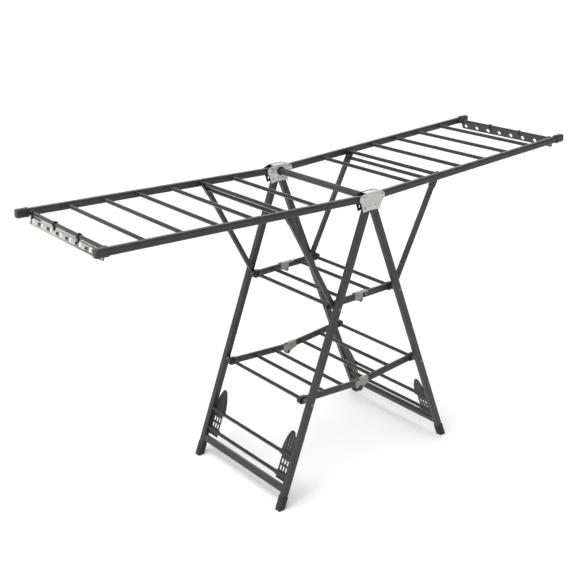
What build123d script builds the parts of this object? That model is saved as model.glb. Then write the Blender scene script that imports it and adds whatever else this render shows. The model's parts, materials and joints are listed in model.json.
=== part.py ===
"""Folding clothes drying rack: two hinged leg frames, two drying wings with their props, two fold-up shelves.

+X runs along the rack towards the right wing, -Y is the near side, +Z is up, and the origin is
on the floor under the middle of the rack. Everything is drawn for the right side and mirrored.
Three upright planes hold the moving pieces on each side, from outside in: the wing rails and
legs, then the props, then the shelf rails.
"""

import os
from math import atan2, cos, degrees, hypot, radians, sin, sqrt

from build123d import *

os.makedirs("parts", exist_ok=True)

# ---------------------------------------------------------------- driving dimensions (mm, degrees)
# Upright planes, measured from the middle of the rack in Y
FRAME_PLANE = 220.0
PROP_PLANE = 201.2
SHELF_PLANE = 184.0

# Legs
LEG_ANGLE = 21.2
LEG_PIVOT_X = 12.0
LEG_PIVOT_Z = 910.0
LEG_WIDTH = 21.0
LEG_CORNER = 4.0
TUBE_WALL = 1.2
LEG_TUBE = 964.0
FOOT_WIDTH = 23.0
FOOT_DEPTH = 25.0
FOOT_TOP = 932.0
CROSSBAR_AT = 912.0
CROSSBAR_WIDTH = 16.0
CROSSBAR_HEIGHT = 22.0
UPPER_ROD_AT = 807.5
LOWER_ROD_AT = 875.5
ROD_RADIUS = 6.0
ROD_WALL = 1.0

# Shoe holders, clipped on the two rods of a leg frame
HOLDER_PLANE = 180.5
HOLDER_WIDTH = 56.0
HOLDER_TAIL_INNER = 20.0
HOLDER_TAIL_OUTER = 26.0
HOLDER_TOP = 77.0
HOLDER_BOTTOM = 86.0
HOLDER_THICK = 3.0
HOLDER_INSET = 4.0
HOLDER_SLOTS = (-18.0, -6.0, 6.0, 18.0)
HOLDER_SLOT_START = 13.0
HOLDER_SLOT_WIDTH = 3.2
HOLDER_GRID = 12.5
HOLDER_GRID_ROWS = (-27.5, -50.0)
HOLDER_CLIP_WALL = 2.2

# Head
WING_PIVOT_X = 36.7
WING_PIVOT_Z = 939.0
PLATE_GAP = 23.0
PLATE_THICK = 1.6
PLATE_TOP = 957.0
FLANGE_HALF = 24.0
FLANGE_DEPTH = 19.0
BACK_PLATE_THICK = 3.0
SLOT_X = -29.5
SLOT_Z = 913.0
SLOT_WIDTH = 5.0
FRONT_SLOT = 7.5
BACK_SLOT = 11.0
BAR_RADIUS = 10.5
BAR_Z = 936.0
COLLAR_RADIUS = 14.0
COLLAR_WIDTH = 8.0

# Wings
WING_TILT = 2.34
WING_RAIL_WIDTH = 18.0
WING_RAIL_HEIGHT = 21.5
WING_RAIL_CORNER = 5.0
WING_RAIL_END = 884.0
WING_CAP_START = 852.0
WING_CAP_END = 888.0
FIRST_RUNG = 156.0
RUNG_STEP = 115.0
RUNG_COUNT = 7
PROPPED_RUNG = 1

# Hanger strips, hung from the last rung of each wing
STRIP_HALF = 207.0
STRIP_TOP = 7.0
STRIP_BOTTOM = 32.0
STRIP_THICK = 1.2
STRIP_LEAN = 20.0
STRIP_HOLES = 8
STRIP_HOLE_STEP = 53.5
STRIP_HOLE_RADIUS = 6.5
CLIP_PLACES = (199.0, 66.5)
CLIP_WIDTH = 9.0
CLIP_RADIUS = 8.6

# Props (the U frames that hold the wings up)
PROP_PIVOT_AT = 320.0
PROP_WIDTH = 15.0
PROP_CORNER = 3.0
HOOK_SHORT = 14.0
HOOK_SLEEVE = 42.0
HOOK_DEPTH = 15.6
PROP_ROD_BELOW = 21.0

# Shelves: distance of the outer pivot down the leg, height of the middle pin, rail above the pin
SHELF_LEVELS = {
    "upper": {
        "pivot_at": 320.0,
        "pin_z": 598.0,
        "offset": 14.0,
        "barrel": 7.0,
        "knob": 4.5,
        "cheek": (-28.0, 5.0),
        "web": (-20.0, 28.0),
        "fixing_at": 20.0,
        "inner_rungs": (56.0,),
    },
    "lower": {
        "pivot_at": 626.0,
        "pin_z": 290.0,
        "offset": 18.0,
        "barrel": 9.0,
        "knob": 10.0,
        "cheek": (-20.0, 36.0),
        "web": (3.0, 36.0),
        "fixing_at": 26.0,
        "inner_rungs": (62.0, 144.0),
    },
}
SHELF_RAIL_WIDTH = 12.0
SHELF_RAIL_HEIGHT = 20.0
SHELF_RAIL_START = 10.0
SHELF_RAIL_PAST = 10.0
BLOCK_DEPTH = 15.0
BLOCK_HEIGHT = 23.5
BLOCK_IN = 12.0
BLOCK_OUT = 18.0
BRACKET_THICK = 1.5
BRACKET_LIP = 4.0
RELIEF_END = 3.0
PIN_RADIUS = 3.0

# Rivets
RIVET_RADIUS = 4.0
WING_RIVET_RADIUS = 5.0
RUNNING = 0.05
CLEAR = 0.3


# ---------------------------------------------------------------- helpers
def along_y(shape):
    """Turns a shape made along Z so that it lies along Y."""
    return Rot(90, 0, 0) * shape


def y_rod(radius, from_y, to_y):
    """Round bar along Y between two values of Y."""
    middle = (from_y + to_y) / 2
    return Pos(0, middle, 0) * along_y(Cylinder(radius, abs(to_y - from_y)))


def y_tube(radius, wall, half_length):
    """Round tube along Y, centred."""
    return along_y(Cylinder(radius, 2 * half_length) - Cylinder(radius - wall, 2 * half_length))


def rounded_prism(width, depth, corner, length):
    """Solid bar along +Z from the origin, width in X and depth in Y."""
    return extrude(RectangleRounded(width, depth, corner), length)


def slab(outline, from_y, to_y):
    """Solid between two values of Y from an outline drawn in (x, z)."""
    face = make_face(outline)
    return Pos(0, max(from_y, to_y), 0) * extrude(Rot(90, 0, 0) * face, abs(to_y - from_y))


def near_and_far(shape):
    """The near-side piece and its mirror image on the far side."""
    return [shape, mirror(shape, about=Plane.XZ)]


def solids_of(shapes):
    """Every solid of a list of shapes."""
    found = []
    for shape in shapes:
        found.extend(shape.solids())
    return found


def save(name, shapes):
    """Writes one node; a node of several pieces is a group of separate solids."""
    solids = solids_of(shapes if isinstance(shapes, list) else [shapes])
    export_step(solids[0] if len(solids) == 1 else Compound(children=solids), f"parts/{name}.step")


def save_pair(name, shapes):
    """Writes the right-hand node and its mirror image on the left."""
    solids = solids_of(shapes if isinstance(shapes, list) else [shapes])
    save(f"right_{name}", solids)
    save(f"left_{name}", [mirror(solid, about=Plane.YZ) for solid in solids])


# ---------------------------------------------------------------- frames of the right-hand pieces
leg_frame = Pos(LEG_PIVOT_X, 0, LEG_PIVOT_Z) * Rot(0, -LEG_ANGLE, 0)
wing_frame = Pos(WING_PIVOT_X, 0, WING_PIVOT_Z) * Rot(0, -WING_TILT, 0)


def down_leg(distance):
    """(x, z) of the point on the right leg's centre line this far from its pivot."""
    angle = radians(LEG_ANGLE)
    return LEG_PIVOT_X + distance * sin(angle), LEG_PIVOT_Z - distance * cos(angle)


def along_wing(distance):
    """(x, z) of the point on the right wing's centre line this far from its pivot."""
    angle = radians(WING_TILT)
    return WING_PIVOT_X + distance * cos(angle), WING_PIVOT_Z + distance * sin(angle)


prop_foot = down_leg(PROP_PIVOT_AT)
prop_tip = along_wing(FIRST_RUNG + PROPPED_RUNG * RUNG_STEP)
prop_length = hypot(prop_tip[0] - prop_foot[0], prop_tip[1] - prop_foot[1])
prop_lean = degrees(atan2(prop_tip[0] - prop_foot[0], prop_tip[1] - prop_foot[1]))
prop_frame = Pos(prop_foot[0], 0, prop_foot[1]) * Rot(0, prop_lean, 0)


# ---------------------------------------------------------------- head
def plate_outline(bottom_left):
    """Head plate: two round lobes for the wing rivets, waisted sides, and a foot for the leg rivets."""
    lobe = 14.0
    top_half = 26.0
    foot_half = 31.0
    foot_z = 899.0
    shoulder = lobe * cos(radians(72))
    shoulder_z = WING_PIVOT_Z + lobe * sin(radians(72))
    waist_x = lobe * cos(radians(-55))
    waist_z = WING_PIVOT_Z + lobe * sin(radians(-55))
    right = WING_PIVOT_X
    left = -WING_PIVOT_X
    right_waist = (right + waist_x, waist_z)
    return [
        Line((-top_half, PLATE_TOP), (top_half, PLATE_TOP)),
        Line((top_half, PLATE_TOP), (right + shoulder, shoulder_z)),
        ThreePointArc((right + shoulder, shoulder_z), (right + lobe, WING_PIVOT_Z), right_waist),
        ThreePointArc(right_waist, (36.0, 915.0), (foot_half, foot_z)),
        ThreePointArc((foot_half, foot_z), (0, foot_z + 3.0), (-bottom_left, foot_z)),
        ThreePointArc((-bottom_left, foot_z), (-40.5, 915.0), (left - waist_x, waist_z)),
        ThreePointArc((left - waist_x, waist_z), (left - lobe, WING_PIVOT_Z), (left - shoulder, shoulder_z)),
        Line((left - shoulder, shoulder_z), (-top_half, PLATE_TOP)),
    ]


def rivet_holes(plane_y, slot_height):
    """Bars to cut from one of a head's plates: leg rivets, wing rivets and the slot at its lower left."""
    from_y = plane_y - 30
    to_y = plane_y + 30
    cutters = []
    for side in (-1, 1):
        cutters.append(Pos(side * LEG_PIVOT_X, 0, LEG_PIVOT_Z) * y_rod(RIVET_RADIUS, from_y, to_y))
        bore = y_rod(WING_RIVET_RADIUS + RUNNING, from_y, to_y)
        cutters.append(Pos(side * WING_PIVOT_X, 0, WING_PIVOT_Z) * bore)
    slot = SlotOverall(slot_height, SLOT_WIDTH, rotation=90)
    cutters.append(Pos(SLOT_X, to_y, SLOT_Z) * extrude(Rot(90, 0, 0) * slot, to_y - from_y))
    return cutters


def head_plates(plane_y):
    """One head's plates: a thin front one with a bent top flange and a thick back one."""
    front_y = plane_y - PLATE_GAP / 2
    back_y = plane_y + PLATE_GAP / 2
    front = slab(plate_outline(36.0), front_y, front_y - PLATE_THICK)
    flange = Pos(0, front_y + FLANGE_DEPTH / 2, PLATE_TOP - PLATE_THICK / 2)
    front = front + flange * Box(2 * FLANGE_HALF, FLANGE_DEPTH, PLATE_THICK)
    back = slab(plate_outline(36.0), back_y + BACK_PLATE_THICK, back_y)
    for cutter in rivet_holes(plane_y, FRONT_SLOT):
        front = front - cutter
    for cutter in rivet_holes(plane_y, BACK_SLOT):
        back = back - cutter
    return front, back


def head_rivet(radius, head, play, head_thick, tail_thick):
    """Rivet through both plates of a head about Y = 0: domed head in front, flat tail at the back."""
    front_face = -PLATE_GAP / 2 - PLATE_THICK - play
    back_face = PLATE_GAP / 2 + BACK_PLATE_THICK + play
    shank = y_rod(radius, front_face, back_face)
    tail = y_rod(radius * 1.35, back_face, back_face + tail_thick)
    return shank + rivet_dome(head, head_thick, front_face) + tail


def rivet_dome(radius, thick, face_y):
    """Domed rivet head standing out towards -Y from the face at this Y."""
    dome = Pos(0, face_y - thick / 2, 0) * along_y(Cylinder(radius, thick))
    rim = dome.edges().filter_by(GeomType.CIRCLE).sort_by(Axis.Y)[0]
    return fillet(rim, thick * 0.6)


def make_head():
    near_back_face = -FRAME_PLANE + PLATE_GAP / 2 + BACK_PLATE_THICK
    far_front_face = FRAME_PLANE - PLATE_GAP / 2 - PLATE_THICK
    near_front, near_back = head_plates(-FRAME_PLANE)
    far_front, far_back = head_plates(FRAME_PLANE)
    save("near_outer_plate", near_front)
    save("near_inner_plate", near_back)
    save("far_inner_plate", far_front)
    save("far_outer_plate", far_back)
    bar = y_rod(BAR_RADIUS, near_back_face, far_front_face)
    bore = y_rod(BAR_RADIUS - TUBE_WALL, near_back_face, far_front_face)
    save("centre_bar", Pos(0, 0, BAR_Z) * (bar - bore))
    collars = []
    for from_y, to_y in (
        (near_back_face, near_back_face + COLLAR_WIDTH),
        (far_front_face - COLLAR_WIDTH, far_front_face),
    ):
        ring = y_rod(COLLAR_RADIUS, from_y, to_y) - y_rod(BAR_RADIUS, from_y, to_y)
        collars.append(Pos(0, 0, BAR_Z) * ring)
    save("bar_collars", collars)
    leg_rivets = []
    wing_rivets = []
    for plane_y in (-FRAME_PLANE, FRAME_PLANE):
        for side in (-1, 1):
            place = Pos(side * LEG_PIVOT_X, plane_y, LEG_PIVOT_Z)
            leg_rivets.append(place * head_rivet(RIVET_RADIUS, 6.5, 0.0, 2.2, 1.5))
        place = Pos(WING_PIVOT_X, plane_y, WING_PIVOT_Z)
        wing_rivets.append(place * head_rivet(WING_RIVET_RADIUS, 9.5, CLEAR, 2.6, 1.2))
    save("leg_pivot_rivets", leg_rivets)
    save_pair("wing_rivets", wing_rivets)


# ---------------------------------------------------------------- leg frames
def leg_bar(grow):
    """Leg's solid outline in its own frame, pivot at the origin, grown or shrunk all round."""
    width = LEG_WIDTH + 2 * grow
    shaft = Pos(0, 0, -LEG_TUBE) * rounded_prism(width, width, LEG_CORNER + grow, LEG_TUBE)
    return shaft + along_y(Cylinder(width / 2, width))


def make_leg():
    leg = leg_bar(0) - leg_bar(-TUBE_WALL)
    for distance in (0.0, SHELF_LEVELS["upper"]["pivot_at"], SHELF_LEVELS["lower"]["pivot_at"]):
        leg = leg - Pos(0, 0, -distance) * y_rod(RIVET_RADIUS + RUNNING, -30, 30)
    near = leg_frame * Pos(0, -FRAME_PLANE, 0) * leg
    save_pair("leg_near", near)
    save_pair("leg_far", mirror(near, about=Plane.XZ))


def make_foot():
    """Rubber foot: a sleeve on the leg's end, cut level with the floor."""
    floor_distance = LEG_PIVOT_Z / cos(radians(LEG_ANGLE)) + FOOT_WIDTH
    sleeve = rounded_prism(FOOT_WIDTH, FOOT_DEPTH, 5.0, floor_distance - FOOT_TOP)
    foot = Pos(0, -FRAME_PLANE, -floor_distance) * sleeve
    foot = leg_frame * (foot - Pos(0, -FRAME_PLANE, 0) * leg_bar(0))
    floor_block = Pos(down_leg(floor_distance)[0], -FRAME_PLANE, -50) * Box(200, 100, 100)
    foot = foot - floor_block
    save_pair("feet", near_and_far(foot))


def make_leg_cross_pieces():
    half = FRAME_PLANE - LEG_WIDTH / 2
    outside = rounded_prism(CROSSBAR_WIDTH, CROSSBAR_HEIGHT, 3.0, 2 * half)
    inside = rounded_prism(CROSSBAR_WIDTH - 2 * TUBE_WALL, CROSSBAR_HEIGHT - 2 * TUBE_WALL, 1.8, 2 * half)
    crossbar = Pos(0, half, -CROSSBAR_AT) * along_y(outside - inside)
    save_pair("crossbar", leg_frame * crossbar)
    upper = Pos(0, 0, -UPPER_ROD_AT) * y_tube(ROD_RADIUS, ROD_WALL, half)
    lower = Pos(0, 0, -LOWER_ROD_AT) * y_tube(ROD_RADIUS, ROD_WALL, half)
    save_pair("shoe_rods", [leg_frame * upper, leg_frame * lower])


def holder_plate():
    """Near holder's tongue-shaped plate: width in Y, height in Z, zero height at the upper rod."""
    half = HOLDER_WIDTH / 2
    inner = HOLDER_TAIL_INNER
    outer = -HOLDER_TAIL_OUTER
    outline = [
        Line((outer, -HOLDER_BOTTOM), (inner, -HOLDER_BOTTOM)),
        Line((inner, -HOLDER_BOTTOM), (inner, -10)),
        Line((inner, -10), (half, 5)),
        ThreePointArc((half, 5), (21, 46), (9, HOLDER_TOP - 4)),
        ThreePointArc((9, HOLDER_TOP - 4), (0, HOLDER_TOP), (-9, HOLDER_TOP - 4)),
        ThreePointArc((-9, HOLDER_TOP - 4), (-21, 46), (-half, 5)),
        Line((-half, 5), (outer, -10)),
        Line((outer, -10), (outer, -HOLDER_BOTTOM)),
    ]
    plate = extrude(Plane.YZ * make_face(outline), HOLDER_THICK / 2, both=True)
    for place in HOLDER_SLOTS:
        top = HOLDER_TOP - 13.0 - 0.055 * place * place
        slot = SlotOverall(top - HOLDER_SLOT_START, HOLDER_SLOT_WIDTH, rotation=90)
        middle = (top + HOLDER_SLOT_START) / 2
        plate = plate - Pos(-10, place, middle) * extrude(Plane.YZ * slot, 20)
    opening = extrude(Plane.YZ * RectangleRounded(8.0, 15.5, 2.0), 20)
    for column in (-1, 0, 1):
        for row in HOLDER_GRID_ROWS:
            plate = plate - Pos(-10, column * HOLDER_GRID - 2.0, row) * opening
    return plate


def holder_clip(from_y, to_y):
    """C-shaped clip along a rod on the origin, open outwards (towards +X)."""
    radius = ROD_RADIUS + HOLDER_CLIP_WALL
    ring = y_rod(radius, from_y, to_y) - y_rod(ROD_RADIUS, from_y, to_y)
    return ring - Pos(radius, 0, 0) * Box(radius, 500, 3 * radius)


def make_shoe_holders():
    """Near shoe holder: a plate along the leg with a long clip round each rod."""
    plate = Pos(-HOLDER_INSET, -HOLDER_PLANE, -UPPER_ROD_AT) * holder_plate()
    half = HOLDER_WIDTH / 2
    upper = Pos(0, -HOLDER_PLANE, -UPPER_ROD_AT)
    lower = Pos(0, -HOLDER_PLANE, -LOWER_ROD_AT)
    holder = plate + upper * holder_clip(-half, half) + lower * holder_clip(-half, half - 3.0)
    holder = holder - upper * y_rod(ROD_RADIUS, -2 * half, 2 * half)
    holder = holder - lower * y_rod(ROD_RADIUS, -2 * half, 2 * half)
    save_pair("shoe_holders", near_and_far(leg_frame * holder))


def make_shelf_pivots():
    """Rivets through each leg: the upper one also carries the prop, the lower one has a spacer."""
    inner_end = SHELF_PLANE + BLOCK_DEPTH / 2 + CLEAR
    leg_outside = FRAME_PLANE + LEG_WIDTH / 2
    leg_inside = FRAME_PLANE - LEG_WIDTH / 2
    pin = y_rod(RIVET_RADIUS, -leg_outside, -inner_end) + rivet_dome(6.0, 2.0, -leg_outside)
    spacer = y_rod(8.0, -leg_inside, -inner_end)
    upper = Pos(0, 0, -SHELF_LEVELS["upper"]["pivot_at"]) * pin
    lower = Pos(0, 0, -SHELF_LEVELS["lower"]["pivot_at"]) * (pin + spacer)
    save_pair("shelf_pivots", near_and_far(leg_frame * upper) + near_and_far(leg_frame * lower))


# ---------------------------------------------------------------- wings
def wing_bar(grow):
    """Wing rail's solid outline in the wing's frame, pivot at the origin, running along +X."""
    width = WING_RAIL_WIDTH + 2 * grow
    height = WING_RAIL_HEIGHT + 2 * grow
    shaft = Rot(0, 90, 0) * rounded_prism(height, width, WING_RAIL_CORNER + grow, WING_RAIL_END)
    return shaft + along_y(Cylinder(height / 2, width))


def make_wing():
    rail = wing_bar(0) - wing_bar(-TUBE_WALL) - y_rod(WING_RIVET_RADIUS + RUNNING, -30, 30)
    near = wing_frame * Pos(0, -FRAME_PLANE, 0) * rail
    save_pair("wing_rail_near", near)
    save_pair("wing_rail_far", mirror(near, about=Plane.XZ))
    half = FRAME_PLANE - WING_RAIL_WIDTH / 2
    rungs = []
    for number in range(RUNG_COUNT):
        place = FIRST_RUNG + number * RUNG_STEP
        rungs.append(wing_frame * Pos(place, 0, 0) * y_tube(ROD_RADIUS, ROD_WALL, half))
    save_pair("wing_rungs", rungs)
    cap_length = WING_CAP_END - WING_CAP_START
    cap = Rot(0, 90, 0) * rounded_prism(WING_RAIL_HEIGHT + 4, WING_RAIL_WIDTH + 4, 6.5, cap_length)
    end_rim = cap.edges().filter_by(Plane.YZ).group_by(Axis.X)[-1]
    cap = Pos(WING_CAP_START, 0, 0) * fillet(end_rim, 4.0)
    cap = cap - wing_bar(0)
    save_pair("wing_end_caps", near_and_far(wing_frame * Pos(0, -FRAME_PLANE, 0) * cap))


def make_hanger():
    """Perforated strip below the last rung, leaning outwards, with four clips round the rung."""
    place = Pos(*hanger_axis()) * Rot(0, -STRIP_LEAN, 0)
    height = STRIP_BOTTOM - STRIP_TOP
    middle = -(STRIP_TOP + STRIP_BOTTOM) / 2
    strip = Pos(0, 0, middle) * Box(STRIP_THICK, 2 * STRIP_HALF, height)
    corners = strip.edges().filter_by(Axis.X)
    strip = fillet(corners, 5.0)
    blank = strip
    for number in range(STRIP_HOLES):
        sideways = (number - (STRIP_HOLES - 1) / 2) * STRIP_HOLE_STEP
        strip = strip - Pos(0, sideways, middle) * Rot(0, 90, 0) * Cylinder(STRIP_HOLE_RADIUS, 10)
    save_pair("hanger_strip", place * strip)
    ring = along_y(Cylinder(CLIP_RADIUS, CLIP_WIDTH))
    tab = Pos(0, 0, -CLIP_RADIUS - 2.0) * Box(5.0, CLIP_WIDTH, 12.0)
    clip = ring + tab - along_y(Cylinder(ROD_RADIUS + CLEAR, 2 * CLIP_WIDTH))
    clips = []
    for sideways in CLIP_PLACES:
        clips.extend(near_and_far(place * (Pos(0, -sideways, 0) * clip - blank)))
    save_pair("hanger_clips", clips)


def hanger_axis():
    """Centre of the last rung, which is the line the strip swings on."""
    x, z = along_wing(FIRST_RUNG + (RUNG_COUNT - 1) * RUNG_STEP)
    return x, 0, z


# ---------------------------------------------------------------- props
def prop_bar(grow):
    """Prop arm's solid outline in the prop's frame, pivot at the origin, running up +Z."""
    width = PROP_WIDTH + 2 * grow
    shaft = rounded_prism(width, width, PROP_CORNER + grow, prop_length - HOOK_SHORT)
    return shaft + along_y(Cylinder(width / 2, width))


def level_point(x, z):
    """(x, z) in the prop's frame of a point given level with the floor, from the propped rung."""
    angle = radians(prop_lean)
    return x * cos(angle) - z * sin(angle), prop_length + x * sin(angle) + z * cos(angle)


def make_hook():
    """Plastic hook on the arm's end: a level floor under the rung and a prong outside it."""
    floor = -ROD_RADIUS - CLEAR
    prong_in = ROD_RADIUS + CLEAR
    sleeve_half = PROP_WIDTH / 2 + 1.2
    sleeve_top = prop_length - HOOK_SHORT + 2.0
    corners = [
        (-sleeve_half, prop_length - HOOK_SLEEVE),
        (sleeve_half, prop_length - HOOK_SLEEVE),
        (sleeve_half, prop_length - HOOK_SHORT - 4.0),
        level_point(prong_in + 4.6, -3.0),
        level_point(prong_in + 3.5, 6.8),
        level_point(prong_in + 2.1, 7.8),
        level_point(prong_in + 0.6, 7.0),
        level_point(prong_in, floor),
        level_point(-8.0, floor),
        (-sleeve_half, sleeve_top),
    ]
    middle = PROP_PLANE
    hook = slab(Polyline(*corners, close=True), -middle + HOOK_DEPTH / 2, -middle - HOOK_DEPTH / 2)
    hook = hook - Pos(0, -PROP_PLANE, 0) * prop_bar(0)
    save_pair("prop_hooks", near_and_far(prop_frame * hook))


def make_prop():
    arm = prop_bar(0) - prop_bar(-TUBE_WALL) - y_rod(RIVET_RADIUS + RUNNING, -30, 30)
    save_pair("prop_arms", near_and_far(prop_frame * Pos(0, -PROP_PLANE, 0) * arm))
    half = PROP_PLANE - HOOK_DEPTH / 2
    rod = Pos(0, 0, prop_length - PROP_ROD_BELOW) * y_tube(ROD_RADIUS, ROD_WALL, half)
    save_pair("prop_rod", prop_frame * rod)
    make_hook()


# ---------------------------------------------------------------- shelves
def shelf_geometry(level):
    """Frame of the right half on the middle pin, and the rail's length from pin to outer pivot."""
    outer = down_leg(level["pivot_at"])
    rise = outer[1] - level["pin_z"]
    reach = hypot(outer[0], rise)
    length = sqrt(reach**2 - level["offset"] ** 2)
    slope = degrees(atan2(rise, outer[0]) - atan2(level["offset"], length))
    return Pos(0, 0, level["pin_z"]) * Rot(0, -slope, 0), length


def shelf_rail(level, length):
    """One near rail of the right half, in the half's frame."""
    run = length + SHELF_RAIL_PAST - SHELF_RAIL_START
    outside = rounded_prism(SHELF_RAIL_HEIGHT, SHELF_RAIL_WIDTH, 2.5, run)
    inside = rounded_prism(SHELF_RAIL_HEIGHT - 2 * TUBE_WALL, SHELF_RAIL_WIDTH - 2 * TUBE_WALL, 1.3, run)
    place = Pos(SHELF_RAIL_START, -SHELF_PLANE, level["offset"]) * Rot(0, 90, 0)
    return place * (outside - inside)


def pivot_block(level, length):
    """Plastic end piece over the rail's outer end, rounded, with the end rung let into it."""
    start = length - BLOCK_IN
    radius = BLOCK_HEIGHT / 2
    straight = BLOCK_IN + BLOCK_OUT - radius
    body = Pos(start + straight / 2, 0, 0) * Box(straight, BLOCK_DEPTH, BLOCK_HEIGHT)
    body = body + Pos(start + straight, 0, 0) * along_y(Cylinder(radius, BLOCK_DEPTH))
    block = Pos(0, -SHELF_PLANE, level["offset"]) * body
    rail_run = length + SHELF_RAIL_PAST
    rail = Rot(0, 90, 0) * rounded_prism(SHELF_RAIL_HEIGHT, SHELF_RAIL_WIDTH, 2.5, rail_run)
    return block - Pos(0, -SHELF_PLANE, level["offset"]) * rail


def hinge_block(level):
    """Left half's plug and barrel at the middle, drawn for the right side: it turns on the middle pin."""
    barrel_half = SHELF_RAIL_WIDTH / 2 - CLEAR
    offset = level["offset"]
    barrel = along_y(Cylinder(level["barrel"], 2 * barrel_half))
    top = offset + SHELF_RAIL_HEIGHT / 2
    neck = Pos(SHELF_RAIL_START / 2 + 0.3, 0, top / 2) * Box(SHELF_RAIL_START - 0.6, 2 * barrel_half, top)
    bore = along_y(Cylinder(PIN_RADIUS + RUNNING, 40))
    return Pos(0, -SHELF_PLANE, 0) * (barrel + neck - bore)


def bracket(level):
    """Folded channel on the right half's inner ends: two cheeks with lugs, and a web over the rails."""
    offset = level["offset"]
    left, right = level["cheek"]
    low = offset - SHELF_RAIL_HEIGHT / 2
    rail_top = offset + SHELF_RAIL_HEIGHT / 2
    high = rail_top + BRACKET_THICK
    outline = [
        Line((left, high), (right, high)),
        Line((right, high), (right, low)),
        Line((right, low), (5.0, 0.0)),
        ThreePointArc((5.0, 0.0), (0.0, -5.0), (-5.0, 0.0)),
        Line((-5.0, 0.0), (left, low)),
        Line((left, low), (left, high)),
    ]
    web_left, web_right = level["web"]
    web_run = web_right - web_left
    web_middle = (web_left + web_right) / 2
    outer_face = SHELF_PLANE + SHELF_RAIL_WIDTH / 2
    inner_face = SHELF_PLANE - SHELF_RAIL_WIDTH / 2
    channel = Pos(web_middle, -SHELF_PLANE, rail_top + BRACKET_THICK / 2) * Box(
        web_run, SHELF_RAIL_WIDTH + 2 * BRACKET_THICK, BRACKET_THICK
    )
    for from_y in (-outer_face - BRACKET_THICK, -inner_face):
        channel = channel + slab(outline, from_y, from_y + BRACKET_THICK)
        lip = Box(web_run, BRACKET_THICK, BRACKET_LIP)
        channel = channel + Pos(web_middle, from_y + BRACKET_THICK / 2, high - BRACKET_LIP / 2) * lip
    relief_run = RELIEF_END - left + 1.0
    relief_height = rail_top + CLEAR + 10.0
    relief = Box(relief_run, SHELF_RAIL_WIDTH + 2 * CLEAR, relief_height)
    relief_z = rail_top + CLEAR - relief_height / 2
    channel = channel - Pos(RELIEF_END - relief_run / 2, -SHELF_PLANE, relief_z) * relief
    channel = channel - Pos(0, -SHELF_PLANE, 0) * along_y(Cylinder(PIN_RADIUS + RUNNING, 40))
    seat = outer_face if level["fixing_at"] > right else outer_face + BRACKET_THICK
    fixing = Pos(level["fixing_at"], 0, offset) * y_rod(3.6, -seat - 0.8, -seat)
    return channel, fixing


def middle_pin(knob):
    """Headed pin through the bracket cheeks and the barrel, with a flat round knob outside."""
    outer_face = SHELF_PLANE + SHELF_RAIL_WIDTH / 2 + BRACKET_THICK
    inner_face = SHELF_PLANE - SHELF_RAIL_WIDTH / 2 - BRACKET_THICK
    shank = y_rod(PIN_RADIUS, -outer_face - CLEAR, -inner_face + CLEAR)
    head = y_rod(knob, -outer_face - CLEAR - 0.8, -outer_face - CLEAR)
    tail = y_rod(4.5, -inner_face + CLEAR, -inner_face + CLEAR + 1.2)
    return shank + head + tail


def make_shelf(name):
    level = SHELF_LEVELS[name]
    frame, length = shelf_geometry(level)
    pin_place = Pos(0, 0, level["pin_z"])
    save(f"{name}_shelf_mid_pins", near_and_far(pin_place * middle_pin(level["knob"])))
    rails = near_and_far(frame * shelf_rail(level, length))
    blocks = near_and_far(frame * pivot_block(level, length))
    half = SHELF_PLANE - SHELF_RAIL_WIDTH / 2
    end_half = SHELF_PLANE - BLOCK_DEPTH / 2
    rungs = []
    for place in level["inner_rungs"]:
        rungs.append(frame * Pos(place, 0, level["offset"]) * y_tube(ROD_RADIUS, ROD_WALL, half))
    rungs.append(frame * Pos(length, 0, level["offset"]) * y_tube(ROD_RADIUS, ROD_WALL, end_half))
    for part, shapes in (("rails", rails), ("rungs", rungs), ("pivot_blocks", blocks)):
        save(f"{name}_shelf_right_{part}", shapes)
        save(f"{name}_shelf_left_{part}", [mirror(shape, about=Plane.YZ) for shape in shapes])
    hinge_blocks = near_and_far(frame * hinge_block(level))
    save(f"{name}_shelf_hinge_blocks", [mirror(shape, about=Plane.YZ) for shape in hinge_blocks])
    channel, fixing = bracket(level)
    save(f"{name}_shelf_brackets", near_and_far(frame * channel) + near_and_far(frame * fixing))


make_head()
make_leg()
make_foot()
make_leg_cross_pieces()
make_shoe_holders()
make_shelf_pivots()
make_wing()
make_hanger()
make_prop()
make_shelf("upper")
make_shelf("lower")
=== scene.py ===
"""Looks of a folding clothes drying rack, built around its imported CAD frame.

Metres, in the frame's own axes: +X along the rack to the right wing, -Y the near side, +Z up.
"""

import json
from math import cos, pi, radians, sin

import bmesh
import bpy
from mathutils import Matrix, Vector


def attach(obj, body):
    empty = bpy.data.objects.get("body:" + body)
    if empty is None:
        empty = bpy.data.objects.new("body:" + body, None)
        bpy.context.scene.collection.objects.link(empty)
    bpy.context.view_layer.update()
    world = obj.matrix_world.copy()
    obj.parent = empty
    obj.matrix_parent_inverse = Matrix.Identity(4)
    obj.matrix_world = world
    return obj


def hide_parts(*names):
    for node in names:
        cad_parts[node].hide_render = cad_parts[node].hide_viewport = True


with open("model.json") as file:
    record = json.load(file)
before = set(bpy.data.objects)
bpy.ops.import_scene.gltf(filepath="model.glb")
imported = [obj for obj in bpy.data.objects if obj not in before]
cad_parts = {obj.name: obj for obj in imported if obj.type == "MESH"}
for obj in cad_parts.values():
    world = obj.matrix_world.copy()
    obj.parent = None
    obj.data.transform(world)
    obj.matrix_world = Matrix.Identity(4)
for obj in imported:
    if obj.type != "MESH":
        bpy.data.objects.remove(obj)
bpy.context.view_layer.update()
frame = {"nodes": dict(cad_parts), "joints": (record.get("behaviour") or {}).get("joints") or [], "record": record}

SIDES = ("left", "right")
LEVELS = ("upper", "lower")

# ---------------------------------------------------------------- driving values
LEG_LEAN = radians(21.2)
WING_TILT = radians(2.34)
FRAME_PLANE = 0.220
SHARP = radians(35)

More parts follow.
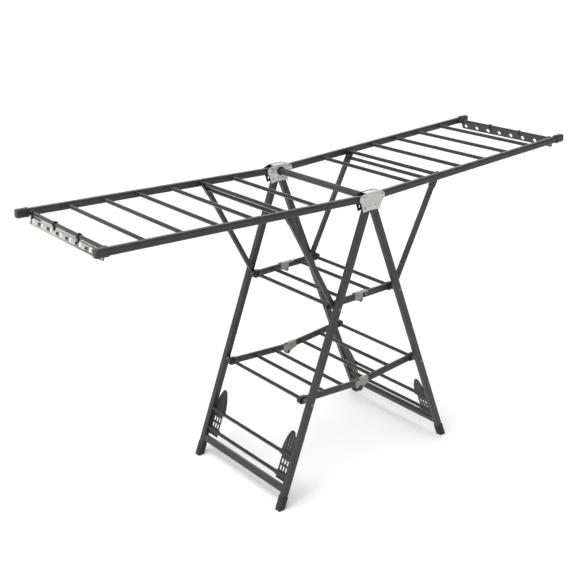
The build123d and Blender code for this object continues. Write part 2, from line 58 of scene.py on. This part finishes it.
CAMERA_PLACE = Vector((-2.004, -2.314, 1.787))
CAMERA_AZIMUTH = radians(-38.83)
CAMERA_ELEVATION = radians(21.48)
CAMERA_ROLL = radians(-0.89)
CAMERA_LENS = 62.72

FLOOR_HALF = 30.0

# Light: the sky's base and patches (direction, where each starts and is full, strength), wall, soft box
SKY_BASE = 0.06
SKY_LOBES = (
    ((-0.66, -0.06, 0.75), 0.35, 0.95, 2.0),
    ((0.30, 0.10, 0.95), 0.30, 1.00, 0.50),
)
WALL_EDGE = radians(31)
WALL_STRENGTH = 1.45
BOX_PLACE = Vector((-1.25, -0.35, 2.35))
BOX_AIM = Vector((-0.1, 0.0, 0.75))
BOX_SIZE = 0.9
BOX_POWER = 12.0

# Hanger strips: their lean, their holes, the holes' middle below the swing's axis, the depth of the charcoal layer
# on their inner face
STRIP_LEAN = radians(20)
STRIP_HOLES = 8
STRIP_HOLE_STEP = 0.0535
STRIP_HOLE_RADIUS = 0.0065
STRIP_MIDDLE = 0.0195
INNER_LAYER_DEPTH = 0.00012

# Mouldings: distance of each rib from the leg's or wing's pivot, and the size of what it runs round
FOOT_RIBS = (0.9333, 0.9385, 0.9425, 0.9465)
FOOT_SIZE = (0.023, 0.025)
FOOT_CORNER = 0.005
# The feet stand 0.5 mm from the middle plane when the rack is closed, so the ribs are lower than that
FOOT_RIB_PROUD = 0.0004
FOOT_RIB_STRETCH = 3.0
CAP_LIPS = (0.8532, 0.8580, 0.8600)
CAP_SIZE = (0.0255, 0.022)
CAP_CORNER = 0.0065
CAP_LIP_PROUD = 0.0011
CAP_GROOVE_PROUD = 0.0005
CAP_LIP_STRETCH = 1.3
CORNER_STEPS = 5
BEAD_SIDES = 8

# Props: the rung they hold, along the wing from its pivot, and the screw in the hook's sleeve
PROPPED_AT = 0.271
HOOK_FACE = 0.1934
SCREW_BELOW_RUNG = 0.031

# Meshes: how near two points are taken as one, the bend below which faces are one, steps of a soft edge
SAME_POINT = 2e-6
FLAT_BEND = radians(0.4)
SOFT_SEGMENTS = 2

pivots = {joint["name"]: Vector(joint.get("pos_m") or (0, 0, 0)) for joint in frame["joints"]}
materials = {}


# ---------------------------------------------------------------- material kit
class Shader:
    """Node tree of one material, with short calls for the nodes that the materials share."""

    def __init__(self, name):
        self.material = bpy.data.materials.new(name)
        self.material.use_nodes = True
        self.tree = self.material.node_tree
        self.bsdf = self.tree.nodes["Principled BSDF"]
        self.place = self.tree.nodes.new("ShaderNodeTexCoord").outputs["Object"]

    def node(self, kind, **settings):
        made = self.tree.nodes.new(kind)
        for key, value in settings.items():
            setattr(made, key, value)
        return made

    def link(self, source, target):
        self.tree.links.new(source, target)

    def noise(self, scale, detail=3.0, roughness=0.55, stretch=(1, 1, 1)):
        """Noise factor with this many cells to the metre."""
        mapping = self.node("ShaderNodeMapping")
        mapping.inputs["Scale"].default_value = stretch
        self.link(self.place, mapping.inputs["Vector"])
        made = self.node("ShaderNodeTexNoise")
        made.inputs["Scale"].default_value = scale
        made.inputs["Detail"].default_value = detail
        made.inputs["Roughness"].default_value = roughness
        self.link(mapping.outputs["Vector"], made.inputs["Vector"])
        return made.outputs["Fac"]

    def speckle(self, scale):
        """Random value of each Voronoi cell, for flakes and grit."""
        made = self.node("ShaderNodeTexVoronoi")
        made.inputs["Scale"].default_value = scale
        self.link(self.place, made.inputs["Vector"])
        split = self.node("ShaderNodeSeparateColor")
        self.link(made.outputs["Color"], split.inputs["Color"])
        return split.outputs["Red"]

    def ramp(self, factor, low, high, from_value, to_value):
        """Factor stretched from low..high to from_value..to_value."""
        made = self.node("ShaderNodeMapRange")
        made.inputs["From Min"].default_value = low
        made.inputs["From Max"].default_value = high
        made.inputs["To Min"].default_value = from_value
        made.inputs["To Max"].default_value = to_value
        self.link(factor, made.inputs["Value"])
        return made.outputs["Result"]

    def mix(self, factor, first, second):
        """Colour mix; first and second are colours or sockets."""
        made = self.node("ShaderNodeMix", data_type="RGBA")
        self.link(factor, made.inputs["Factor"])
        for value, socket in ((first, made.inputs["A"]), (second, made.inputs["B"])):
            if hasattr(value, "links"):
                self.link(value, socket)
            else:
                socket.default_value = (*value, 1.0)
        return made.outputs["Result"]

    def edges(self, radius, low=0.02, high=0.20):
        """Mask that is 1 along convex and concave edges within this radius."""
        soft = self.node("ShaderNodeBevel", samples=4)
        soft.inputs["Radius"].default_value = radius
        hard = self.node("ShaderNodeNewGeometry")
        dot = self.node("ShaderNodeVectorMath", operation="DOT_PRODUCT")
        self.link(soft.outputs["Normal"], dot.inputs[0])
        self.link(hard.outputs["Normal"], dot.inputs[1])
        away = self.node("ShaderNodeMath", operation="SUBTRACT")
        away.inputs[0].default_value = 1.0
        self.link(dot.outputs["Value"], away.inputs[1])
        return self.ramp(away.outputs["Value"], low, high, 0.0, 1.0)

    def times(self, first, second):
        made = self.node("ShaderNodeMath", operation="MULTIPLY")
        for value, socket in ((first, made.inputs[0]), (second, made.inputs[1])):
            if hasattr(value, "links"):
                self.link(value, socket)
            else:
                socket.default_value = value
        return made.outputs["Value"]

    def bump(self, heights):
        """Chain of bumps from (factor, strength, depth in metres)."""
        normal = None
        for factor, strength, depth in heights:
            made = self.node("ShaderNodeBump")
            made.inputs["Strength"].default_value = strength
            made.inputs["Distance"].default_value = depth
            self.link(factor, made.inputs["Height"])
            if normal is not None:
                self.link(normal, made.inputs["Normal"])
            normal = made.outputs["Normal"]
        self.link(normal, self.bsdf.inputs["Normal"])

    def finish(self, colour, roughness, **constants):
        self.link(colour, self.bsdf.inputs["Base Color"])
        self.link(roughness, self.bsdf.inputs["Roughness"])
        for key, value in constants.items():
            self.bsdf.inputs[key.replace("_", " ")].default_value = value
        return self.material


# ---------------------------------------------------------------- materials
def powder_coat(name, colour, gloss, shine):
    """Baked powder paint: orange peel, a fine grit of lighter grains, dust and rubbed edges."""
    s = Shader(name)
    dark = [channel * 0.82 for channel in colour]
    light = [channel * 1.22 for channel in colour]
    base = s.mix(s.ramp(s.noise(22, 4), 0.35, 0.65, 0, 1), dark, light)
    grit = s.ramp(s.speckle(900), 0.80, 1.0, 0, 0.45)
    base = s.mix(grit, base, [channel * 2.0 for channel in colour])
    rubbed = s.times(s.edges(0.0014), s.ramp(s.noise(60, 4), 0.45, 0.7, 0.0, 0.45))
    base = s.mix(rubbed, base, [channel * 2.6 + 0.01 for channel in colour])
    roughness = s.ramp(s.noise(35, 3), 0.3, 0.7, gloss - 0.06, gloss + 0.08)
    peel = s.noise(420, 2)
    fine = s.noise(1500, 2)
    s.bump([(peel, 0.35, 0.00012), (fine, 0.25, 0.00005)])
    return s.finish(base, roughness, IOR=1.5, Specular_IOR_Level=shine)


def silver_paint(name, colour, metallic):
    """Pressed steel with satin silver paint: flake, faint handling marks and a painted highlight along the edges,
    in patches.
    """
    s = Shader(name)
    cloud = s.ramp(s.noise(45, 4), 0.3, 0.7, 0, 1)
    base = s.mix(cloud, [c * 0.90 for c in colour], [c * 1.06 for c in colour])
    flake = s.ramp(s.speckle(1800), 0.75, 1.0, 0, 0.35)
    base = s.mix(flake, base, [min(1.0, c * 1.3) for c in colour])
    # Painted highlight: the edges are made lighter in patches, standing in for the rim highlight on the plates.
    lighter_edges = s.times(s.edges(0.0010), s.ramp(s.noise(90, 4), 0.4, 0.7, 0.15, 0.7))
    base = s.mix(lighter_edges, base, [min(1.0, c * 1.18) for c in colour])
    roughness = s.ramp(s.noise(160, 4, stretch=(1, 1, 0.2)), 0.3, 0.7, 0.30, 0.48)
    s.bump([(s.noise(300, 3), 0.25, 0.0001), (s.noise(1600, 2), 0.2, 0.00003)])
    return s.finish(base, roughness, Metallic=metallic)


def rolled_metal(name, colour, low, high, stretch):
    """Bare rolled sheet or turned metal: fine drawn grain in one direction and dull patches."""
    s = Shader(name)
    grain = s.noise(700, 3, 0.6, stretch)
    base = s.mix(s.ramp(grain, 0.3, 0.7, 0, 1), [c * 0.88 for c in colour], colour)
    dull = s.ramp(s.noise(30, 4), 0.45, 0.75, 0, 0.35)
    base = s.mix(dull, base, [c * 0.75 for c in colour])
    lighter_edges = s.times(s.edges(0.0008), s.ramp(s.noise(120, 3), 0.4, 0.7, 0.1, 0.6))
    base = s.mix(lighter_edges, base, [min(1.0, c * 1.25) for c in colour])
    roughness = s.ramp(s.noise(55, 3), 0.3, 0.7, low, high)
    s.bump([(grain, 0.25, 0.00004), (s.noise(60, 2), 0.15, 0.0002)])
    return s.finish(base, roughness, Metallic=1.0)


def moulded_plastic(name, colour, gloss):
    """Injection-moulded plastic: spark-eroded grain, flow marks and edges gone slightly pale."""
    s = Shader(name)
    flow = s.ramp(s.noise(40, 3, stretch=(1, 0.3, 1)), 0.35, 0.65, 0, 1)
    base = s.mix(flow, [c * 0.85 for c in colour], [c * 1.25 for c in colour])
    pale = s.times(s.edges(0.0009), s.ramp(s.noise(80, 3), 0.4, 0.7, 0.15, 0.6))
    base = s.mix(pale, base, [c * 2.4 + 0.008 for c in colour])
    roughness = s.ramp(s.noise(70, 3), 0.3, 0.7, gloss - 0.07, gloss + 0.09)
    s.bump([(s.speckle(1400), 0.22, 0.00006), (s.noise(500, 3), 0.25, 0.00008)])
    return s.finish(base, roughness, IOR=1.47)


def soft_rubber(name, colour):
    """Matt rubber with dust in its grain and a scuffed foot."""
    s = Shader(name)
    dust = s.ramp(s.noise(110, 5), 0.5, 0.75, 0, 0.5)
    base = s.mix(dust, colour, [c * 2.2 + 0.01 for c in colour])
    roughness = s.ramp(s.noise(90, 3), 0.3, 0.7, 0.62, 0.85)
    s.bump([(s.noise(900, 4), 0.4, 0.00012)])
    return s.finish(base, roughness, IOR=1.5)


def make_materials():
    materials["charcoal_coat"] = powder_coat("charcoal_coat", (0.024, 0.024, 0.0243), 0.38, 0.40)
    materials["charcoal_gloss"] = powder_coat("charcoal_gloss", (0.009, 0.009, 0.0092), 0.20, 0.50)
    materials["plate_silver"] = silver_paint("plate_silver", (0.52, 0.515, 0.49), 0.25)
    materials["bracket_grey"] = silver_paint("bracket_grey", (0.235, 0.24, 0.215), 0.35)
    materials["strip_silver"] = rolled_metal("strip_silver", (0.46, 0.45, 0.415), 0.06, 0.12, (1, 0.06, 1))
    materials["bright_steel"] = rolled_metal("bright_steel", (0.62, 0.61, 0.585), 0.28, 0.42, (1, 1, 1))
    materials["dark_steel"] = rolled_metal("dark_steel", (0.16, 0.16, 0.155), 0.30, 0.45, (1, 1, 1))
    materials["black_plastic"] = moulded_plastic("black_plastic", (0.010, 0.010, 0.0105), 0.42)
    materials["grey_plastic"] = moulded_plastic("grey_plastic", (0.026, 0.026, 0.027), 0.45)
    materials["black_rubber"] = soft_rubber("black_rubber", (0.012, 0.012, 0.012))


def paint(piece, slot):
    """Gives a piece the material of the record's slot, on every slot of its mesh."""
    if not piece.data.materials:
        piece.data.materials.append(materials[slot])
    for index in range(len(piece.data.materials)):
        piece.data.materials[index] = materials[slot]


# ---------------------------------------------------------------- mesh kit
def new_piece(name, mesh, slot, body):
    """A mesh, bmesh included, as a painted piece that rides on a body."""
    if isinstance(mesh, bmesh.types.BMesh):
        bmesh.ops.recalc_face_normals(mesh, faces=mesh.faces)
        data = bpy.data.meshes.new(name)
        mesh.to_mesh(data)
        mesh.free()
        mesh = data
    mesh.shade_smooth()
    mesh.set_sharp_from_angle(angle=SHARP)
    piece = bpy.data.objects.new(name, mesh)
    bpy.context.scene.collection.objects.link(piece)
    paint(piece, slot)
    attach(piece, body)
    return piece


def whole_mesh(node):
    """A bmesh of a CAD node with the seams between its faces closed and its flat faces made whole."""
    made = bmesh.new()
    made.from_mesh(frame["nodes"][node].data)
    bmesh.ops.remove_doubles(made, verts=made.verts, dist=SAME_POINT)
    bmesh.ops.dissolve_limit(made, angle_limit=FLAT_BEND, verts=made.verts, edges=made.edges)
    return made


def island_boxes(node):
    """(low corner, high corner) of each separate solid of a CAD node, in order of X and then Y."""
    made = bmesh.new()
    made.from_mesh(frame["nodes"][node].data)
    bmesh.ops.remove_doubles(made, verts=made.verts, dist=SAME_POINT)
    left = set(made.verts)
    boxes = []
    while left:
        edge_of_search = [left.pop()]
        island = list(edge_of_search)
        while edge_of_search:
            vertex = edge_of_search.pop()
            for edge in vertex.link_edges:
                other = edge.other_vert(vertex)
                if other in left:
                    left.remove(other)
                    island.append(other)
                    edge_of_search.append(other)
        low = Vector([min(v.co[axis] for v in island) for axis in range(3)])
        high = Vector([max(v.co[axis] for v in island) for axis in range(3)])
        boxes.append((low, high))
    made.free()
    return sorted(boxes, key=lambda box: (round(box[0].x, 4), round(box[0].y, 4)))


def slot_of(node):
    """The record's material slot of a CAD node."""
    for part in frame["record"]["subparts"]:
        if part["node"] == node:
            return part["material_slot"]
    raise KeyError(node)


def body_of(node):
    for body, members in frame["record"]["behaviour"]["bodies"].items():
        if node in members:
            return body
    raise KeyError(node)


def soften(node, width):
    """Stands in for a CAD node with the same shape, its sharp edges rounded over by width."""
    made = whole_mesh(node)
    sharp = [
        edge
        for edge in made.edges
        if len(edge.link_faces) == 2 and edge.calc_face_angle(0.0) > SHARP
    ]
    bmesh.ops.bevel(
        made,
        geom=sharp,
        offset=width,
        segments=SOFT_SEGMENTS,
        profile=0.5,
        affect="EDGES",
        clamp_overlap=True,
    )
    bmesh.ops.triangulate(made, faces=[face for face in made.faces if len(face.verts) > 4])
    piece = new_piece(node + "_moulded", made, slot_of(node), body_of(node))
    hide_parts(node)
    return piece


def lathe(mesh, centre, axis, profile, turns=32):
    """Adds a solid of revolution to a bmesh: profile is (radius, distance along axis), closed on itself."""
    axis = Vector(axis).normalized()
    across = axis.orthogonal().normalized()
    other = axis.cross(across)
    rings = []
    for turn in range(turns):
        angle = 2 * pi * turn / turns
        out = across * cos(angle) + other * sin(angle)
        rings.append([mesh.verts.new(Vector(centre) + out * r + axis * d) for r, d in profile])
    count = len(profile)
    for turn in range(turns):
        here = rings[turn]
        there = rings[(turn + 1) % turns]
        for step in range(count):
            following = (step + 1) % count
            mesh.faces.new((here[step], here[following], there[following], there[step]))


def arc(centre_r, centre_d, radius, start, end, steps):
    """Points (r, d) of an arc, angles in degrees from the outward direction."""
    points = []
    for step in range(steps + 1):
        angle = radians(start + (end - start) * step / steps)
        points.append((centre_r + radius * cos(angle), centre_d + radius * sin(angle)))
    return points


# ---------------------------------------------------------------- carried-over CAD nodes
SOFTENED = {
    "near_outer_plate": 0.0005,
    "far_inner_plate": 0.0005,
    "near_inner_plate": 0.0008,
    "far_outer_plate": 0.0008,
    "bar_collars": 0.0012,
    "upper_shelf_brackets": 0.0004,
    "lower_shelf_brackets": 0.0004,
    "upper_shelf_hinge_blocks": 0.0006,
    "lower_shelf_hinge_blocks": 0.0006,
}
for side in SIDES:
    SOFTENED[f"{side}_feet"] = 0.0012
    SOFTENED[f"{side}_shoe_holders"] = 0.0006
    SOFTENED[f"{side}_wing_end_caps"] = 0.0008
    SOFTENED[f"{side}_hanger_strip"] = 0.0003
    SOFTENED[f"{side}_hanger_clips"] = 0.0006
    SOFTENED[f"{side}_prop_hooks"] = 0.0008
    for level in LEVELS:
        SOFTENED[f"{level}_shelf_{side}_pivot_blocks"] = 0.0014


def carry_over():
    """Softens the pressed and moulded nodes and paints the rest as they are."""
    for node in sorted(frame["nodes"]):
        if node in SOFTENED:
            soften(node, SOFTENED[node])
        else:
            paint(frame["nodes"][node], slot_of(node))


# ---------------------------------------------------------------- welds
def weld_profile(rod):
    """Fillet of weld round a rod of this radius, standing on the face it meets."""
    height = 0.0020
    spread = 0.0024
    hollow = [(rod + spread * (1 - sin(a)), height * (1 - cos(a))) for a in (0.0, 0.35, 0.75, 1.15, pi / 2)]
    return [(rod - 0.0006, -0.0003), (rod + spread, -0.0003)] + hollow + [(rod - 0.0006, height)]


def weld_rods(node, name):
    """Weld beads at both ends of every rod of a node."""
    beads = bmesh.new()
    for low, high in island_boxes(node):
        rod = (high.x - low.x) / 2
        middle = (low + high) / 2
        for end, inward in ((low.y, 1), (high.y, -1)):
            lathe(beads, (middle.x, end, middle.z), (0, inward, 0), weld_profile(rod), 24)
    new_piece(name, beads, "charcoal_gloss", body_of(node))


def make_welds():
    for side in SIDES:
        weld_rods(f"{side}_wing_rungs", f"{side}_wing_welds")
        weld_rods(f"{side}_shoe_rods", f"{side}_shoe_rod_welds")
        for level in LEVELS:
            weld_rods(f"{level}_shelf_{side}_rungs", f"{level}_shelf_{side}_welds")


# ---------------------------------------------------------------- rivets
def rivet_profile(shank, head, head_thick, length, tail_thick):
    """Tubular rivet: domed head with a dimple at distance 0 and behind it, shank, rolled tail."""
    dome = arc(head * 0.55, -0.0004, head_thick, -90, -12, 6)
    dimple = [
        (0.0001, -head_thick * 0.45),
        (head * 0.26, -head_thick * 0.5),
        (head * 0.38, -head_thick * 0.98),
    ]
    rim = [(head, -0.0003), (head, 0.0)]
    tail_radius = shank * 1.35
    tail = [
        (shank, 0.0),
        (shank, length),
        (tail_radius, length),
        (tail_radius, length + tail_thick * 0.5),
        (tail_radius * 0.85, length + tail_thick),
        (shank * 0.6, length + tail_thick),
        (shank * 0.5, length + tail_thick * 0.4),
        (0.0001, length + tail_thick * 0.4),
    ]
    shaped_dome = [(min(r, head * 0.97), d) for r, d in dome]
    return dimple + shaped_dome + rim + tail


def make_head_rivets():
    """Dimpled rivets through both heads, in place of the plain ones."""
    for node, name in (
        ("leg_pivot_rivets", "leg_pivot_rivets_dimpled"),
        ("left_wing_rivets", "left_wing_rivets_dimpled"),
        ("right_wing_rivets", "right_wing_rivets_dimpled"),
    ):
        wing = "wing" in node
        shank = 0.0050 if wing else 0.0040
        head = 0.0095 if wing else 0.0065
        head_thick = 0.0026 if wing else 0.0022
        tail_thick = 0.0012 if wing else 0.0015
        made = bmesh.new()
        for low, high in island_boxes(node):
            start = (low.x + high.x) / 2, low.y + head_thick, (low.z + high.z) / 2
            length = high.y - low.y - head_thick - tail_thick
            lathe(made, start, (0, 1, 0), rivet_profile(shank, head, head_thick, length, tail_thick), 36)
        piece = new_piece(name, made, "bright_steel", body_of(node))
        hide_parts(node)


# ---------------------------------------------------------------- hanger strips
def strip_axes(side):
    """Pivot of a hanger strip, the direction down it and the direction of its outer face."""
    sign = 1 if side == "right" else -1
    down = Vector((sign * sin(STRIP_LEAN), 0, -cos(STRIP_LEAN)))
    out = Vector((sign * cos(STRIP_LEAN), 0, sin(STRIP_LEAN)))
    return pivots[f"{side}_hanger_swing"], down, out


def make_eyelets():
    """Rolled rim round each hole of the hanger strips, on both faces."""
    bore = STRIP_HOLE_RADIUS
    rim = [
        (bore - 0.0001, -0.0008),
        (bore + 0.0003, -0.0011),
        (bore + 0.0008, -0.0009),
        (bore + 0.0010, -0.0004),
        (bore + 0.0010, 0.0004),
        (bore + 0.0008, 0.0009),
        (bore + 0.0003, 0.0011),
        (bore - 0.0001, 0.0008),
    ]
    for side in SIDES:
        pivot, down, out = strip_axes(side)
        made = bmesh.new()
        for number in range(STRIP_HOLES):
            centre = pivot + down * STRIP_MIDDLE
            centre.y = (number - (STRIP_HOLES - 1) / 2) * STRIP_HOLE_STEP
            lathe(made, centre, out, rim, 32)
        new_piece(f"{side}_hanger_eyelets", made, "strip_silver", f"{side}_hanger")


def make_strip_backs():
    """A thin charcoal layer over the inner face of each hanger strip, which makes that face dark; the outer face
    stays bare.
    """
    for side in SIDES:
        out = strip_axes(side)[2]
        made = whole_mesh(f"{side}_hanger_strip")
        bmesh.ops.delete(
            made,
            geom=[face for face in made.faces if face.normal.dot(out) > -0.9],
            context="FACES",
        )
        # The charcoal layer sits just inside the inner face and makes that face dark.
        bmesh.ops.translate(made, verts=made.verts, vec=-out * INNER_LAYER_DEPTH)
        bmesh.ops.solidify(made, geom=made.faces[:], thickness=INNER_LAYER_DEPTH / 2)
        new_piece(f"{side}_hanger_dark_inner_layer", made, "charcoal_coat", f"{side}_hanger")


# ---------------------------------------------------------------- ribs and lips of the mouldings
def ring_path(width, depth, corner):
    """Points and outward directions round a rounded rectangle, in its own plane."""
    path = []
    for quarter, (sx, sy) in enumerate(((1, 1), (-1, 1), (-1, -1), (1, -1))):
        centre = Vector((sx * (width / 2 - corner), sy * (depth / 2 - corner)))
        for step in range(CORNER_STEPS + 1):
            angle = pi / 2 * (quarter + step / CORNER_STEPS)
            outward = Vector((cos(angle), sin(angle)))
            path.append((centre + outward * corner, outward))
    return path


def add_bead(mesh, place, size, corner, radius, stretch):
    """Adds a raised bead round a rounded bar to a bmesh, stretched along the bar, which is place's Z."""
    rings = []
    for point, outward in ring_path(size[0], size[1], corner):
        ring = []
        for step in range(BEAD_SIDES):
            angle = 2 * pi * step / BEAD_SIDES
            across = point + outward * (radius * cos(angle))
            along = radius * stretch * sin(angle)
            ring.append(mesh.verts.new(place @ Vector((across.x, across.y, along))))
        rings.append(ring)
    for here, there in zip(rings, rings[1:] + rings[:1]):
        for step in range(BEAD_SIDES):
            following = (step + 1) % BEAD_SIDES
            mesh.faces.new((here[step], here[following], there[following], there[step]))


def bar_place(origin, along, y):
    """Matrix with its origin on a bar at this Y, Z along the bar and Y across the rack."""
    along = along.normalized()
    across = Vector((0, 1, 0)).cross(along)
    turn = Matrix((across, Vector((0, 1, 0)), along)).transposed()
    return Matrix.Translation(Vector((origin.x, y, origin.z))) @ turn.to_4x4()


def make_foot_ribs():
    """A lip round the top of each rubber foot and three ribs below it."""
    for side, sign in zip(SIDES, (-1, 1)):
        up = Vector((-sign * sin(LEG_LEAN), 0, cos(LEG_LEAN)))
        pivot = pivots["frame_fold" if side == "left" else "right_leg_fold"]
        made = bmesh.new()
        for y in (-FRAME_PLANE, FRAME_PLANE):
            for distance in FOOT_RIBS:
                place = bar_place(pivot - up * distance, up, y)
                add_bead(made, place, FOOT_SIZE, FOOT_CORNER, FOOT_RIB_PROUD, FOOT_RIB_STRETCH)
        new_piece(f"{side}_foot_ribs", made, "black_rubber", f"{side}_leg_frame")


def make_cap_lips():
    """A lip round the mouth of each wing end cap and a groove's two edges behind it."""
    for side, sign in zip(SIDES, (-1, 1)):
        along = Vector((sign * cos(WING_TILT), 0, sin(WING_TILT)))
        pivot = pivots[f"{side}_wing_fold"]
        made = bmesh.new()
        for y in (-FRAME_PLANE, FRAME_PLANE):
            for distance in CAP_LIPS:
                radius = CAP_LIP_PROUD if distance == CAP_LIPS[0] else CAP_GROOVE_PROUD
                place = bar_place(pivot + along * distance, along, y)
                add_bead(made, place, CAP_SIZE, CAP_CORNER, radius, CAP_LIP_STRETCH)
        new_piece(f"{side}_cap_lips", made, "grey_plastic", f"{side}_wing")


def make_hook_screws():
    """A screw through the inner face of each prop hook's sleeve."""
    head = [(0.0001, -0.0004), (0.0011, -0.0004), (0.0014, -0.0010), (0.0022, -0.0011), (0.0028, -0.0005)]
    head += [(0.0028, 0.0004), (0.0001, 0.0004)]
    for side, sign in zip(SIDES, (-1, 1)):
        along = Vector((sign * cos(WING_TILT), 0, sin(WING_TILT)))
        foot = pivots[f"{side}_prop_swing"]
        tip = pivots[f"{side}_wing_fold"] + along * PROPPED_AT
        arm = Vector((tip.x - foot.x, 0, tip.z - foot.z)).normalized()
        made = bmesh.new()
        for y, inward in ((-HOOK_FACE, 1), (HOOK_FACE, -1)):
            place = Vector((tip.x, y, tip.z)) - arm * SCREW_BELOW_RUNG
            lathe(made, place, (0, -inward, 0), head, 20)
        new_piece(f"{side}_hook_screws", made, "dark_steel", f"{side}_prop")


# ---------------------------------------------------------------- stage, light, camera
def make_floor():
    mesh = bpy.data.meshes.new("floor")
    corners = [(x * FLOOR_HALF, y * FLOOR_HALF, 0.0) for x, y in ((-1, -1), (1, -1), (1, 1), (-1, 1))]
    mesh.from_pydata(corners, [], [(0, 1, 2, 3)])
    floor = bpy.data.objects.new("floor", mesh)
    bpy.context.scene.collection.objects.link(floor)
    s = Shader("pale_floor")
    base = s.mix(s.ramp(s.noise(0.6, 3), 0.3, 0.7, 0, 1), (0.90, 0.90, 0.90), (0.92, 0.92, 0.92))
    roughness = s.ramp(s.noise(2, 2), 0.3, 0.7, 0.75, 0.85)
    floor.data.materials.append(s.finish(base, roughness, Specular_IOR_Level=0.1))


def lobe(tree, direction, low, high, strength):
    """Smooth patch of brightness round a direction of the sky."""
    place = tree.nodes.new("ShaderNodeTexCoord").outputs["Generated"]
    dot = tree.nodes.new("ShaderNodeVectorMath")
    dot.operation = "DOT_PRODUCT"
    dot.inputs[1].default_value = Vector(direction).normalized()
    tree.links.new(place, dot.inputs[0])
    shape = tree.nodes.new("ShaderNodeMapRange")
    shape.interpolation_type = "SMOOTHSTEP"
    shape.inputs["From Min"].default_value = low
    shape.inputs["From Max"].default_value = high
    shape.inputs["To Min"].default_value = 0.0
    shape.inputs["To Max"].default_value = strength
    tree.links.new(dot.outputs["Value"], shape.inputs["Value"])
    return shape.outputs["Result"]


def make_wall(tree):
    """Brightness of a white wall behind the rack: low in the sky, and ending sharply to the left."""
    right_of_edge = lobe(tree, (cos(WALL_EDGE), sin(WALL_EDGE), 0), -0.015, 0.015, 1.0)
    behind = lobe(tree, (0, 1, 0), 0.25, 0.60, 1.0)
    high_up = lobe(tree, (0, 0, 1), 0.35, 0.60, 1.0)
    below = tree.nodes.new("ShaderNodeMath")
    below.operation = "SUBTRACT"
    below.inputs[0].default_value = 1.0
    tree.links.new(high_up, below.inputs[1])
    total = below.outputs["Value"]
    for factor in (right_of_edge, behind):
        made = tree.nodes.new("ShaderNodeMath")
        made.operation = "MULTIPLY"
        tree.links.new(total, made.inputs[0])
        tree.links.new(factor, made.inputs[1])
        total = made.outputs["Value"]
    scaled = tree.nodes.new("ShaderNodeMath")
    scaled.operation = "MULTIPLY"
    scaled.inputs[1].default_value = WALL_STRENGTH
    tree.links.new(total, scaled.inputs[0])
    return scaled.outputs["Value"]


def make_soft_box():
    """A soft box over the left wing, near enough to light the top of the rack more than its feet."""
    data = bpy.data.lights.new("soft_box", "AREA")
    data.shape = "DISK"
    data.size = BOX_SIZE
    data.energy = BOX_POWER
    box = bpy.data.objects.new("soft_box", data)
    bpy.context.scene.collection.objects.link(box)
    box.location = BOX_PLACE
    box.rotation_euler = (BOX_AIM - BOX_PLACE).to_track_quat("-Z", "Y").to_euler()


def make_light():
    """A studio as a sky: a big soft box to the upper left, a weaker one overhead, a white wall behind."""
    world = bpy.data.worlds.new("studio")
    bpy.context.scene.world = world
    world.use_nodes = True
    tree = world.node_tree
    background = tree.nodes["Background"]
    patches = [lobe(tree, *values) for values in SKY_LOBES]
    patches.append(make_wall(tree))
    total = None
    for patch in patches:
        add = tree.nodes.new("ShaderNodeMath")
        add.operation = "ADD"
        if total is None:
            add.inputs[0].default_value = SKY_BASE
        else:
            tree.links.new(total, add.inputs[0])
        tree.links.new(patch, add.inputs[1])
        total = add.outputs["Value"]
    background.inputs["Color"].default_value = (1.0, 1.0, 1.0, 1.0)
    tree.links.new(total, background.inputs["Strength"])
    white = tree.nodes.new("ShaderNodeBackground")
    seen = tree.nodes.new("ShaderNodeLightPath")
    choose = tree.nodes.new("ShaderNodeMixShader")
    tree.links.new(seen.outputs["Is Camera Ray"], choose.inputs["Fac"])
    tree.links.new(background.outputs["Background"], choose.inputs[1])
    tree.links.new(white.outputs["Background"], choose.inputs[2])
    white.inputs["Color"].default_value = (1.0, 1.0, 1.0, 1.0)
    tree.links.new(choose.outputs["Shader"], tree.nodes["World Output"].inputs["Surface"])
    make_soft_box()


def make_camera():
    data = bpy.data.cameras.new("camera")
    data.sensor_width = 36.0
    data.lens = CAMERA_LENS
    data.clip_end = 200.0
    camera = bpy.data.objects.new("camera", data)
    bpy.context.scene.collection.objects.link(camera)
    flat = cos(CAMERA_ELEVATION)
    back = Vector((sin(CAMERA_AZIMUTH) * flat, -cos(CAMERA_AZIMUTH) * flat, sin(CAMERA_ELEVATION)))
    level = Vector((0, 0, 1)).cross(back).normalized()
    upright = back.cross(level)
    right = level * cos(CAMERA_ROLL) + upright * sin(CAMERA_ROLL)
    up = upright * cos(CAMERA_ROLL) - level * sin(CAMERA_ROLL)
    turn = Matrix((right, up, back)).transposed()
    camera.matrix_world = Matrix.Translation(CAMERA_PLACE) @ turn.to_4x4()
    bpy.context.scene.camera = camera


bpy.context.scene.view_settings.view_transform = "Standard"
make_materials()
carry_over()
make_welds()
make_head_rivets()
make_eyelets()
make_strip_backs()
make_foot_ribs()
make_cap_lips()
make_hook_screws()
make_floor()
make_light()
make_camera()
